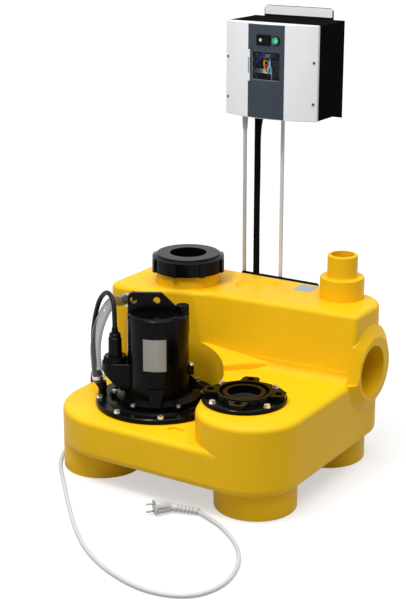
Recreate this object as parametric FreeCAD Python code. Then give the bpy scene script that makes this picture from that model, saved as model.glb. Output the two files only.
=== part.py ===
import FreeCAD, Part
import math
import os
from FreeCAD import Vector

# Sewage lifting station with a moulded tank, a vertical pump, a flanged outlet and a
# control unit on a post. Millimetres, +Z up. Sizes and places are given from the floor point
# under the middle of the tank. The saved frame starts at the middle of the whole footprint.

# Tank
tank_width = 664.0
tank_depth = 584.0
tank_wall = 6.0
body_bottom = 66.0
pump_deck = 165.0
outlet_deck = 238.0
tower_top = 405.0
corner_front_left = 168.0
corner_front_right = 130.0
corner_rear_right = 85.0
corner_rear_left = 70.0
bottom_round = 20.0
deck_round = 14.0
tower_round = 13.0
foot_radius = 98.0
foot_left = -222.0
foot_right = 216.0
foot_front = -164.0
foot_rear = 186.0
tower_front_top = 108.0
tower_front_slope = 28.0
tower_front_skew = 22.0
blend_radius = 26.0
horn_front = 12.0
horn_corner = 34.0
pocket_gap = 6.0
pocket_round = 24.0
ledge_rise = 34.0
ledge_fall_right = 0.118
ledge_fall_front = 0.18
ledge_round = 7.0
ledge_start = 100.0
ledge_bulge = (180.0, 151.0)
ledge_end = 122.0
ledge_under = 20.0

# Tank openings
inlet_bore = 62.0
inlet_boss_radius = 108.0
inlet_face_radius = 80.0
inlet_boss_length = 18.0
inlet_boss_root = 64.0
inlet_rim_round = 4.0
inlet_socket_wall = 7.0
inlet_socket_depth = 67.0
inlet_height = 255.0
inlet_back = 164.0
vent_small_radius = 37.5
vent_large_radius = 55.0
vent_bore = 29.0
vent_step_height = 54.0
vent_top_height = 55.0
vent_rim_round = 4.0
vent_x = 226.0
vent_set_in = 60.0
dimple_radius = 57.0
dimple_slope = 9.0
dimple_depth = 7.0
dimple_set_in = 87.0
tray_radius = 12.0
tray_length = 44.0
tray_depth = 5.0
tray_x = 33.0
tray_y = -222.0

# Inspection opening
cap_x = -172.0
cap_set_in = 145.0
neck_radius = 82.0
neck_bore = 70.0
neck_height = 40.0
cap_radius = 92.0
cap_face_radius = 82.0
cap_face_hole = 47.0
cap_skirt = 35.0
cap_height = 43.0
cap_overlap = 8.0
cap_lug_turn = 10.0
lid_rim = 44.0
cap_lugs = 8
cap_lug_width = 14.0
cap_lug_rise = 4.5
cap_clearance = 0.8
lid_thickness = 9.0
lid_plug_depth = 16.0
seal_section = 5.0

# Pump
pump_x = -103.0
pump_y = -94.0
pump_turn = 30.0
pump_opening = 112.0
flange_radius = 154.0
flange_thickness = 12.0
flange_gasket = 2.0
flange_bolts = 8
flange_bolt_edge = 9.0
flange_bolt_turn = 36.0
pump_ring_depth = 15.0
adapter_set_in = 50.0
adapter_lobe = 14.0
adapter_lobes = 6
adapter_low = 10.0
adapter_thickness = 18.0
claw_width = 36.0
claw_waist = 22.0
claw_rise = 27.0
claw_reach = 4.0
motor_radius = 75.0
motor_wall = 8.0
motor_cavity = 152.0
lug_holes = (-58.0, -2.0)
nameplate_width = 56.0
nameplate_height = 80.0
nameplate_low = 270.0
ear_width = 12.0
ear_height = 24.0
ear_reach = 12.0
ear_top = 262.0
motor_top = 398.0
motor_shoulder = 13.0
lug_thickness = 10.0
lug_left = 72.0
lug_right = 52.0
lug_rise = 48.0
lug_hole = 8.5
lug_hole_height = 29.0
side_boss_radius = 16.0
side_boss_offset = 60.0
side_boss_top = 416.0
side_boss_length = 70.0
terminal_reach = 105.0
terminal_radius = 33.0
terminal_top = 272.0
terminal_drop = 68.0
shaft_radius = 10.0
shaft_clearance = 0.05
rotor_radius = 32.0
stator_radius = 60.0
stator_height = 78.0
bearing_height = 14.0
bearing_radius = 22.0
impeller_radius = 62.0
impeller_low = 120.0
impeller_depth = 27.0
impeller_vanes = 6
volute_radius = 92.0
volute_height = 56.0
volute_top = 151.0
pipe_radius = 27.0
pipe_bend = 55.0
stub_end = 108.0
suction_radius = 30.0
seal_radius = 16.0
volute_wall = 6.0
air_gap = 0.6

# Outlet flange
outlet_x = 164.0
outlet_y = -131.0
outlet_bore = 40.0
outlet_flange_radius = 100.0
outlet_flange_thickness = 9.0
outlet_gasket = 2.0
outlet_bolt_circle = 180.0
outlet_lug_circle = 160.0
outlet_lug_hole = 9.0
outlet_lug_turn = 20.0
outlet_bolt_turn = 66.0
outlet_ring_depth = 15.0
outlet_collar_depth = 14.0
outlet_lug_rise = 11.0
outlet_ring_radius = 66.0
outlet_ring_rise = 13.0
outlet_collar_radius = 50.0
outlet_collar_rise = 10.0
outlet_opening = 58.0
riser_wall = 3.0

# Fasteners
bolt_radius = 4.0
washer_radius = 8.0
washer_thickness = 1.6
bolt_head = 5.3
bolt_head_radius = 7.5
bolt_reach = 22.0
bolt_play = 0.5
bolt_hole_depth = 12.0

# Vent hose between pump and tank
hose_radius = 13.0
hose_bore = 10.0
elbow_turn = 203.0
elbow_edge = 13.0
barb_radius = 6.0
barb_x = -248.0
barb_z = 386.0
clamp_width = 9.0
clamp_thickness = 1.2

# Control unit
unit_width = 250.0
unit_x = 55.5
unit_bottom = 846.0
unit_height = 225.0
unit_set_in = 130.0
unit_bulge = 28.0
unit_wall = 3.0
cover_side = 8.0
cover_screw_radius = 3.2
cover_thickness = 2.5
strip_width = 98.0
strip_proud = 1.2
window_width = 76.0
window_height = 66.0
window_top = 66.0
window_left = -38.0
flap_margin = 4.0
flap_thickness = 2.0
hinge_radius = 2.4
pin_radius = 1.2
switch_offset = -4.5
switch_drop = 38.0
bezel_width = 38.0
bezel_height = 25.0
rocker_width = 31.0
rocker_height = 18.0
button_offset = 27.5
button_radius = 8.5
button_bezel_radius = 11.0
board_depth = 38.0
board_thickness = 1.6
board_reach = 100.0
board_end_gap = 20.0
stand_set_in = 10.0
stand_radius = 4.0
terminal_count = 6
terminal_pitch = 7.5
terminal_lead = 19.5
lead_gland_depth = 60.0
level_gland_depth = 118.0
plate_thickness = 3.0
plate_top_width = 190.0
plate_rise = 27.0
plate_hole_drop = 12.0
plate_hole = 3.5
plate_hole_spacing = 150.0
gland_low = 834.0
rear_gland_length = 12.0

# Post behind the tank
post_radius = 8.0
post_bore = 6.5
post_x = -61.5
bracket_thickness = 3.0
bracket_left = -100.0
bracket_width = 230.0
bracket_height = 62.0
bracket_top = 407.0
post_foot = 322.0
post_top = 1058.0
saddle_width = 36.0
saddle_wall = 3.0
saddle_height = 14.0
saddle_places = (350.0, 382.0, 880.0, 1020.0)

# Level sensing
level_x = 9.5
level_bell_radius = 18.0
level_bell_set_in = 28.0
level_bell_low = 96.0
level_bell_top = 350.0
level_stem_radius = 6.0
level_stem_z = 330.0
level_hose_gap = 15.0

# Plug
plug_radius = 18.5
plug_neck = 9.0
plug_head = 14.0
pin_thickness = 4.8
pin_length = 19.0
pin_spacing = 19.0
floor_gap = 0.2
plug_x = 50.0
plug_y = -340.0
plug_turn = 231.7

# Cable glands on the motor
cable_start = 356.0
gland_flange_radius = 29.0
gland_radius = 17.0
gland_flange_height = 13.0

# Cords
lead_radius = 5.0
pump_cable_radius = 6.0
level_hose_radius = 5.0

contact_gap = 0.3
half_width = tank_width / 2
half_depth = tank_depth / 2
tank_rear = half_depth
vent_y = tank_rear - vent_set_in
cap_y = tank_rear - cap_set_in
dimple_y = tank_rear - dimple_set_in
adapter_radius = flange_radius - adapter_set_in
pocket_radius = flange_radius + pocket_gap
flange_bolt_circle = 2 * (flange_radius - flange_bolt_edge)
elbow_circle = flange_radius - elbow_edge
base_top = pump_deck + flange_gasket + flange_thickness
outlet_seat = outlet_deck + outlet_gasket
motor_bottom = base_top + adapter_thickness
bracket_back = tank_rear + bracket_thickness
rear_gland_end = bracket_back + rear_gland_length
level_bell_y = tank_rear - level_bell_set_in
level_hose_y = tank_rear + level_hose_gap
unit_front = tank_rear - unit_set_in
board_y = unit_front + board_depth
lead_gland_y = unit_front + lead_gland_depth
level_gland_y = unit_front + level_gland_depth
unit_rear = bracket_back - plate_thickness
post_y = bracket_back + post_radius + contact_gap
unit_radius = ((unit_width / 2) ** 2 + unit_bulge ** 2) / (2 * unit_bulge)
unit_centre_y = unit_front - unit_bulge + unit_radius
unit_top = unit_bottom + unit_height
unit_left = unit_x - unit_width / 2
unit_right = unit_x + unit_width / 2
switch_x = unit_x + switch_offset
switch_z = unit_top - switch_drop
button_x = unit_x + button_offset

# Cord routes, point by point
lead_route = [
    (-50.5, lead_gland_y, gland_low), (-50.5, lead_gland_y, 764), (-97, 302, 420), (-101, 309, 330),
    (-104, 310, 240), (-106, 312, 150), (-114, 316, 74), (-144, 324, 20), (-204, 330, 5.2),
    (-268, 332, 5.2), (-328, 316, 5.2), (-360, 264, 5.2), (-370, 184, 5.2), (-374, 92, 5.2),
    (-372, 0, 5.2), (-368, -84, 5.2), (-346, -164, 5.2), (-304, -240, 5.2), (-232, -316, 5.2),
    (-150, -404, 5.2), (-60, -497, 5.2), (31, -574, 5.2), (130, -626, 5.2), (240, -652, 5.2),
    (330, -625, 5.2), (366, -548, 5.2), (347, -452, 5.2), (296, -376, 5.2), (226, -322, 5.2),
    (176, -300, 6.5), (138, -289, 10.0)]
hose_route = [
    (-243, -151, 208), (-247, -155, 250), (-248, -155, 304), (-244, -144, 352), (-240, -117, 388),
    (-243, -84, 400), (-248, -47, 386), (-248, -12, 386)]
pump_cable_route = [
    (-193.9, -146.5, 384), (-202, -138, 420), (-234, -118, 435), (-268, -105, 408), (-287, -100, 360),
    (-297, -99, 308), (-302, -92, 256), (-312, -74, 212), (-330, -56, 186),
    (-347, -40, 156), (-353, -26, 112), (-351, -8, 66), (-352, 22, 26), (-352, 74, 6.2), (-350, 140, 6.2),
    (-342, 206, 6.2), (-316, 266, 6.2), (-264, 303, 6.2), (-196, 308, 6.2), (-140, 304, 6.2),
    (-102, 306, 26), (-82, 311, 74), (-73, 317, 150), (-70, 322, 260), (-69, 322, 410), (-70, 321, 560),
    (-69, 322, 680), (-70, 322, 762), (-67, 326, 806), (-59, 335, 845), (-50, 347, 875), (-42, 357, 903),
    (-38, 358, 925.8), (-37, 351.7, 941.5), (-37, 339.7, 953.5), (-37, 324, 960),
    (-37, rear_gland_end, 960)]
level_hose_route = [
    (24.4, level_gland_y, gland_low), (24.4, level_gland_y, 764), (level_x, level_hose_y, 414),
    (level_x, level_hose_y, 352)]

frame_x = inlet_boss_length / 2
frame_y = (post_y + post_radius + saddle_wall - half_depth) / 2

report = {}


def vec(x, y, z=0.0):
    return Vector(x, y, z)


def polar(cx, cy, radius, angle, z=0.0):
    a = math.radians(angle)
    return vec(cx + radius * math.cos(a), cy + radius * math.sin(a), z)


def disc(radius, height, x=0.0, y=0.0, z=0.0):
    return Part.makeCylinder(radius, height, vec(x, y, z))


def tube(outer, inner, height, x=0.0, y=0.0, z=0.0):
    return disc(outer, height, x, y, z).cut(disc(inner, height, x, y, z))


def rod(radius, length, start, direction):
    return Part.makeCylinder(radius, length, start, direction)


def box(x0, y0, z0, x1, y1, z1):
    return Part.makeBox(x1 - x0, y1 - y0, z1 - z0, vec(x0, y0, z0))


def fuse(shapes):
    result = shapes[0]
    if len(shapes) > 1:
        result = result.multiFuse(shapes[1:])
    return result.removeSplitter()


def turned(profile, x=0.0, y=0.0):
    points = [vec(r, 0, z) for r, z in profile]
    face = Part.Face(Part.makePolygon(points + [points[0]]))
    solid = face.revolve(vec(0, 0, 0), vec(0, 0, 1), 360)
    solid.translate(vec(x, y, 0))
    return solid


def prism(points, z0, z1):
    outline = Part.makePolygon(points + [points[0]])
    outline.translate(vec(0, 0, z0))
    return Part.Face(outline).extrude(vec(0, 0, z1 - z0))


def edges_at(shape, z, tolerance=0.01):
    found = []
    for edge in shape.Edges:
        box_ = edge.BoundBox
        if abs(box_.ZMin - z) < tolerance and abs(box_.ZMax - z) < tolerance:
            found.append(edge)
    return found


def rounded(shape, radius, z):
    return shape.makeFillet(radius, edges_at(shape, z))


def save(name, shape):
    shape = shape.copy()
    shape.translate(vec(-frame_x, -frame_y))
    if not shape.isValid():
        print("INVALID", name)
    shape.exportStep(os.path.join("parts", name + ".step"))
    report[name] = shape


def solids(shapes):
    return Part.makeCompound(shapes)


def smooth_path(points):
    """Straight runs joined by tangent arcs, each as large as its two runs allow."""
    pieces = []
    radii = []
    start = points[0]
    for before, corner, after in zip(points[:-2], points[1:-1], points[2:]):
        into = corner.sub(before)
        out = after.sub(corner)
        run = min(into.Length, out.Length)
        u = Vector(into).normalize()
        v = Vector(out).normalize()
        half_turn = math.acos(max(-1.0, min(1.0, u.dot(v)))) / 2
        cut = 0.45 * run
        radius = cut / math.tan(half_turn)
        radii.append(radius)
        arc_start = corner.sub(u * cut)
        arc_end = corner.add(v * cut)
        inward = v.sub(u).normalize()
        middle = corner.add(inward * (radius / math.cos(half_turn) - radius))
        pieces.append(Part.LineSegment(start, arc_start).toShape())
        pieces.append(Part.Arc(arc_start, middle, arc_end).toShape())
        start = arc_end
    pieces.append(Part.LineSegment(start, points[-1]).toShape())
    return Part.Wire(pieces), radii


def cord(name, points, radius, bore=0.0):
    path, radii = smooth_path(points)
    direction = points[1].sub(points[0])
    section = Part.Wire(Part.makeCircle(radius, points[0], direction))
    solid = path.makePipeShell([section], True, False)
    area = math.pi * radius ** 2
    if bore > 0:
        inner = Part.Wire(Part.makeCircle(bore, points[0], direction))
        solid = solid.cut(path.makePipeShell([inner], True, False))
        area = area - math.pi * bore ** 2
    print(name, "length %.0f" % path.Length, "volume ratio %.4f" % (solid.Volume / (area * path.Length)),
          "radii", [round(r) for r in radii])
    return solid


def plan_outline(inset, z):
    """Rounded rectangle of the tank body with its four different corners."""
    x = half_width - inset
    y = half_depth - inset
    corners = [(x, -y, corner_front_right, -90), (x, y, corner_rear_right, 0),
               (-x, y, corner_rear_left, 90), (-x, -y, corner_front_left, 180)]
    pieces = []
    last = None
    first = None
    for cx, cy, radius, start in corners:
        r = radius - inset
        centre = (cx - math.copysign(r, cx), cy - math.copysign(r, cy))
        a = polar(centre[0], centre[1], r, start, z)
        m = polar(centre[0], centre[1], r, start + 45, z)
        b = polar(centre[0], centre[1], r, start + 90, z)
        if last is not None:
            pieces.append(Part.LineSegment(last, a).toShape())
        else:
            first = a
        pieces.append(Part.Arc(a, m, b).toShape())
        last = b
    pieces.append(Part.LineSegment(last, first).toShape())
    return Part.Wire(pieces)


def boss_region(inset, z0, z1):
    """Raised outlet deck: the front right corner, the ring round the outlet and the land behind."""
    corner_x = half_width - corner_front_right
    corner_y = corner_front_right - half_depth
    corner_r = corner_front_right - inset
    ring_r = outlet_flange_radius + 5 - inset
    dx = outlet_x - corner_x
    dy = outlet_y - corner_y
    reach = math.hypot(dx, dy)
    line = math.degrees(math.atan2(dy, dx))
    tangent = line + math.degrees(math.acos((corner_r - ring_r) / reach))
    a = polar(corner_x, corner_y, corner_r, tangent)
    b = polar(outlet_x, outlet_y, ring_r, tangent)
    land = prism([a, vec(corner_x, corner_y), vec(half_width - inset, corner_y),
                  vec(half_width - inset, tower_front_top + 30), vec(pump_x + 60, tower_front_top + 30),
                  vec(pump_x + 100, pump_y + 60), polar(outlet_x, outlet_y, ring_r, 160),
                  vec(outlet_x, outlet_y),
                  b], z0, z1)
    return fuse([disc(corner_r, z1 - z0, corner_x, corner_y, z0),
                 disc(ring_r, z1 - z0, outlet_x, outlet_y, z0), land])


def tower_front(z):
    return tower_front_top - tower_front_slope * (tower_top - z) / (tower_top - pump_deck)


def tower_blend():
    """Soft corner between the tower's front wall and the outlet deck."""
    low = outlet_deck
    high = outlet_deck + blend_radius
    left = vec(pump_x + 40, -tower_front_skew)
    right = vec(half_width - 14, 0)
    along = right.sub(left)
    reach = tower_front(high) - 1
    half = blend_radius * math.sqrt(0.5)
    arc = Part.Arc(vec(0, reach - blend_radius, low), vec(0, reach - blend_radius + half, high - half),
                   vec(0, reach, high)).toShape()
    rest = Part.makePolygon([vec(0, reach, high), vec(0, reach + 2, high + 6), vec(0, reach + 20, high + 6),
                             vec(0, reach + 20, low - 10), vec(0, reach - blend_radius, low - 10),
                             vec(0, reach - blend_radius, low)])
    face = Part.Face(Part.Wire([arc] + rest.Edges))
    start = left.add(along * 0.16)
    face.translate(start)
    solid = face.extrude(along * 0.855)
    end = [e for e in solid.Edges if e.BoundBox.XLength < 0.01 and e.CenterOfMass.x > half_width - 30
           and abs(e.Length - blend_radius * math.pi / 2) < 0.5]
    return solid.makeFillet(9.0, end)


def tower_region(inset, z0, z1):
    """High rear part. Its front wall leans back and its left end reaches forward as a horn."""
    def outline(z):
        x = half_width - inset
        y = half_depth - inset
        f = tower_front(z) + inset
        pieces = []
        rr = corner_rear_right - inset
        rl = corner_rear_left - inset
        hc = horn_corner
        c_right = 14.0
        hf = horn_front + inset
        p = [vec(x, f + c_right, z), vec(x, y - rr, z), vec(x - rr, y, z), vec(-x + rl, y, z),
             vec(-x, y - rl, z), vec(-x, hf + hc, z), vec(-x + hc, hf, z), vec(-x + 96, hf, z),
             vec(pump_x + 40, f - tower_front_skew, z), vec(x - c_right, f, z)]
        pieces.append(Part.LineSegment(p[0], p[1]).toShape())
        pieces.append(Part.Arc(p[1], polar(x - rr, y - rr, rr, 45, z), p[2]).toShape())
        pieces.append(Part.LineSegment(p[2], p[3]).toShape())
        pieces.append(Part.Arc(p[3], polar(-x + rl, y - rl, rl, 135, z), p[4]).toShape())
        pieces.append(Part.LineSegment(p[4], p[5]).toShape())
        pieces.append(Part.Arc(p[5], polar(-x + hc, hf + hc, hc, 225, z), p[6]).toShape())
        pieces.append(Part.LineSegment(p[6], p[7]).toShape())
        pieces.append(Part.LineSegment(p[7], p[8]).toShape())
        pieces.append(Part.LineSegment(p[8], p[9]).toShape())
        pieces.append(Part.Arc(p[9], polar(x - c_right, f + c_right, c_right, -45, z), p[0]).toShape())
        return Part.Wire(pieces)

    return Part.makeLoft([outline(z0), outline(z1)], True, True)


def ledge_top(x, y):
    """Height of the ledge above its plan. It falls to the right and to the front."""
    return outlet_deck + ledge_rise - ledge_fall_right * x - ledge_fall_front * (tower_front_top - 16 - y)


def ledge(inset):
    """Low shelf that runs out along the tower's foot, its front edge one long curve."""
    low = pump_deck - ledge_under
    near = pump_y + 60
    far = tower_front_top + 30
    end = half_width - ledge_end
    corners = [vec(pump_x + ledge_start, near, low),
               vec(pump_x + ledge_bulge[0], pump_y + ledge_bulge[1] + inset, low),
               vec(end, tower_front_top - 10 + inset, low), vec(end, far, low),
               vec(pump_x - 20, far, low), vec(pump_x - 20, near, low)]
    edge = [Part.Arc(corners[0], corners[1], corners[2]).toShape()]
    edge += [Part.LineSegment(a, b).toShape() for a, b in zip(corners[2:], corners[3:] + corners[:1])]
    block = Part.Face(Part.Wire(edge)).extrude(vec(0, 0, tower_top - low))
    x = tank_width
    y = tank_depth
    ring = [vec(a, b, ledge_top(a, b) - inset) for a, b in ((-x, -y), (x, -y), (x, y), (-x, y))]
    above = Part.Face(Part.makePolygon(ring + [ring[0]])).extrude(vec(0, 0, tower_top))
    block = block.cut(above)
    if inset == 0:
        front = [e for e in block.Edges
                 if abs(e.CenterOfMass.z - ledge_top(e.CenterOfMass.x, e.CenterOfMass.y)) < 3
                 and e.Curve.TypeId != "Part::GeomLine"]
        block = block.makeFillet(ledge_round, front)
    return block


def feet():
    return [(foot_right, foot_front), (foot_left, foot_front), (foot_left, foot_rear),
            (foot_right, foot_rear)]


def pocket_corners(tower):
    """Upright corners where the pump's pocket meets the tower's front."""
    found = []
    for edge in tower.Edges:
        reach = [math.hypot(v.X - pump_x, v.Y - pump_y) for v in edge.Vertexes]
        if max(reach) - min(reach) < 0.01 and abs(reach[0] - pocket_radius) < 0.01:
            if edge.BoundBox.ZLength > 100:
                found.append(edge)
    return found


def tank_form(inset):
    """Solid bounded by the tank's outer skin, or by its inner skin when inset by the wall."""
    rise = vec(0, 0, pump_deck - body_bottom - 2 * inset)
    base = Part.Face(plan_outline(inset, body_bottom + inset)).extrude(rise)
    boss = boss_region(inset, body_bottom + inset + 30, outlet_deck - inset)
    tower = tower_region(inset, body_bottom + inset + 30, tower_top - inset)
    hump = ledge(inset)
    pocket = disc(pocket_radius + inset, tower_top, pump_x, pump_y, pump_deck - inset)
    if inset == 0:
        base = rounded(base, deck_round, pump_deck)
        base = rounded(base, bottom_round, body_bottom)
        boss = rounded(boss, deck_round, outlet_deck)
        tower = tower.cut(pocket)
        tower = tower.makeFillet(pocket_round, pocket_corners(tower))
        tower = rounded(tower, tower_round, tower_top)
    parts = [boss, tower, hump]
    if inset == 0:
        parts.append(tower_blend())
    upper = fuse(parts)
    upper = upper.cut(pocket)
    return fuse([base, upper])


def foot_forms(inset):
    stands = []
    for x, y in feet():
        z0 = inset
        stand = disc(foot_radius - inset, body_bottom + 30 - z0, x, y, z0)
        if inset == 0:
            stand = rounded(stand, 3.0, 0.0)
        stands.append(stand)
    return stands


def inlet_form(inset):
    """Flared boss on the right wall, cut off in front by the tower's front wall."""
    x = vec(1, 0, 0)
    foot = vec(half_width - inset, inlet_back + 16, inlet_height)
    face = vec(half_width + inlet_boss_length - inset, inlet_back + 12, inlet_height)
    flare = Part.makeLoft([Part.Wire(Part.makeCircle(inlet_boss_radius - inset, foot, x)),
                           Part.Wire(Part.makeCircle(inlet_face_radius - inset, face, x))], True)
    if inset == 0:
        flare = flare.makeFillet(inlet_rim_round,
                                 [e for e in flare.Edges if abs(e.BoundBox.XMin - face.x) < 0.1])
    root = rod(inlet_boss_radius - inset, inlet_boss_root, foot.sub(x * inlet_boss_root), x)
    floor = outlet_deck - inset

    def front(z):
        y = tower_front(z) + inset
        points = [vec(0, y, z), vec(half_width - 14, y, z), vec(half_width + 30, y + 6, z),
                  vec(half_width + 30, -80, z),
                  vec(0, -80, z)]
        return Part.makePolygon(points + [points[0]])

    return fuse([flare, root]).cut(Part.makeLoft([front(floor), front(tower_top)], True, True))


def tank_shell():
    outer = fuse([tank_form(0)] + foot_forms(0))
    middle = vec(half_width + inlet_boss_length - inlet_socket_depth, inlet_back, inlet_height)
    neck = disc(neck_radius, neck_height + 10, cap_x, cap_y, tower_top - 10)
    vent_low = disc(vent_large_radius, vent_step_height + 10, vent_x, vent_y, tower_top - 10)
    vent_low = rounded(vent_low, vent_rim_round, tower_top + vent_step_height)
    vent_high = disc(vent_small_radius, vent_step_height + vent_top_height, vent_x, vent_y, tower_top)
    vent_high = rounded(vent_high, vent_rim_round, tower_top + vent_step_height + vent_top_height)
    outer = fuse([outer, inlet_form(0), neck, vent_low, vent_high])
    inner = fuse([tank_form(tank_wall), inlet_form(tank_wall)] + foot_forms(tank_wall))
    socket = rod(inlet_bore + inlet_socket_wall, inlet_socket_depth - 2, middle, vec(1, 0, 0))
    dish = disc(dimple_radius + tank_wall, dimple_depth + 1, 0, dimple_y,
                tower_top - tank_wall - dimple_depth)
    shell = fuse([outer.cut(inner), socket, dish])
    openings = [
        rod(inlet_bore, inlet_socket_depth + 10, middle.sub(vec(5, 0, 0)), vec(1, 0, 0)),
        disc(neck_bore, neck_height + 40, cap_x, cap_y, tower_top - 20),
        disc(vent_bore, vent_step_height + vent_top_height + 40, vent_x, vent_y, tower_top - 20),
        disc(pump_opening, 40, pump_x, pump_y, pump_deck - 20),
        disc(outlet_opening, 40, outlet_x, outlet_y, outlet_deck - 20),
        Part.makeCone(dimple_radius - dimple_slope, dimple_radius, dimple_depth,
                      vec(0, dimple_y, tower_top - dimple_depth)),
        disc(tray_radius, 20, tray_x - tray_length / 2 + tray_radius, tray_y, pump_deck - tray_depth),
        disc(tray_radius, 20, tray_x + tray_length / 2 - tray_radius, tray_y, pump_deck - tray_depth),
        box(tray_x - tray_length / 2 + tray_radius, tray_y - tray_radius * 0.6, pump_deck - tray_depth,
            tray_x + tray_length / 2 - tray_radius, tray_y + tray_radius, pump_deck + 10),
    ]
    for opening in openings:
        shell = shell.cut(opening)
    return shell


def at_pump(shape):
    placed = shape.copy()
    placed.rotate(vec(0, 0), vec(0, 0, 1), pump_turn)
    placed.translate(vec(pump_x, pump_y))
    return placed


def at_cap(shape):
    placed = shape.copy()
    placed.translate(vec(cap_x, cap_y))
    return placed


def ring_places(count, radius, phase, x=0.0, y=0.0):
    return [polar(x, y, radius, phase + 360.0 * i / count) for i in range(count)]


def hexagon(radius, height, place, z):
    corners = [polar(place.x, place.y, radius, 60 * i) for i in range(6)]
    return prism(corners, z, z + height)


def bolt(place, z):
    """Hexagon bolt with its washer, seated on z."""
    washer = disc(washer_radius, washer_thickness, place.x, place.y, z)
    head = hexagon(bolt_head_radius, bolt_head, place, z + washer_thickness)
    shank = disc(bolt_radius, bolt_reach, place.x, place.y, z - bolt_reach)
    return fuse([washer, head, shank])


def pump_bolt_places():
    return ring_places(flange_bolts, flange_bolt_circle / 2, flange_bolt_turn, pump_x, pump_y)


def outlet_bolt_places():
    return ring_places(4, outlet_bolt_circle / 2, outlet_bolt_turn, outlet_x, outlet_y)


def drill(shape, places, radius, z0, z1):
    return shape.cut(solids([disc(radius, z1 - z0, p.x, p.y, z0) for p in places]))


def tank_parts():
    shell = tank_shell()
    pump_ring = tube(flange_radius - 4, pump_opening, pump_ring_depth, pump_x, pump_y,
                     pump_deck - pump_ring_depth)
    outlet_ring = tube(outlet_flange_radius - 2, outlet_opening, outlet_ring_depth, outlet_x, outlet_y,
                       outlet_deck - outlet_ring_depth)
    shell = fuse([shell, pump_ring, outlet_ring])
    shell = drill(shell, pump_bolt_places(), bolt_radius, pump_deck - bolt_hole_depth, pump_deck)
    shell = drill(shell, outlet_bolt_places(), bolt_radius, outlet_deck - bolt_hole_depth, outlet_deck)
    shell = shell.cut(rod(barb_radius, 30, vec(barb_x, horn_front - 12, barb_z), vec(0, 1, 0)))
    shell = shell.cut(rod(level_stem_radius, 20, vec(level_x, tank_rear - 12, level_stem_z), vec(0, 1, 0)))
    save("tank_shell", shell)


def cap_parts():
    neck_top = tower_top + neck_height
    skirt_bottom = neck_top - cap_overlap
    lid_top = neck_top + lid_thickness
    inner = neck_radius + cap_clearance
    body = turned([(inner, skirt_bottom), (cap_radius - 1, skirt_bottom), (cap_radius, skirt_bottom + 1),
                   (cap_radius, skirt_bottom + cap_skirt), (cap_face_radius, skirt_bottom + cap_skirt + 4),
                   (cap_face_radius, skirt_bottom + cap_height - 2),
                   (cap_face_radius - 2, skirt_bottom + cap_height),
                   (cap_face_hole, skirt_bottom + cap_height), (cap_face_hole, lid_top), (inner, lid_top)])
    grips = []
    for place in ring_places(cap_lugs, cap_radius, cap_lug_turn):
        grip = box(-cap_lug_rise - 3, -cap_lug_width / 2, skirt_bottom,
                   cap_lug_rise, cap_lug_width / 2, skirt_bottom + cap_skirt - 2)
        grip = grip.makeFillet(2.0, [e for e in grip.Edges if e.BoundBox.XMin > 0 and e.BoundBox.ZLength > 5])
        grip.rotate(vec(0, 0), vec(0, 0, 1), math.degrees(math.atan2(place.y, place.x)))
        grip.translate(place)
        grips.append(grip)
    save("cap_ring", at_cap(fuse([body] + grips)))
    plug = neck_bore - seal_section * 0.6 - contact_gap
    lid = turned([(0, neck_top - lid_plug_depth), (plug, neck_top - lid_plug_depth), (plug, neck_top),
                  (neck_radius - 1, neck_top), (neck_radius - 1, lid_top), (lid_rim, lid_top),
                  (lid_rim - 2, lid_top - 3), (8, lid_top - 3), (8, lid_top + 4), (6, lid_top + 6),
                  (0, lid_top + 6)])
    save("cap_lid", at_cap(lid))
    seal = tube(neck_bore - contact_gap, plug, seal_section, 0, 0, neck_top - lid_plug_depth + 4)
    save("cap_seal", at_cap(seal))


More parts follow.
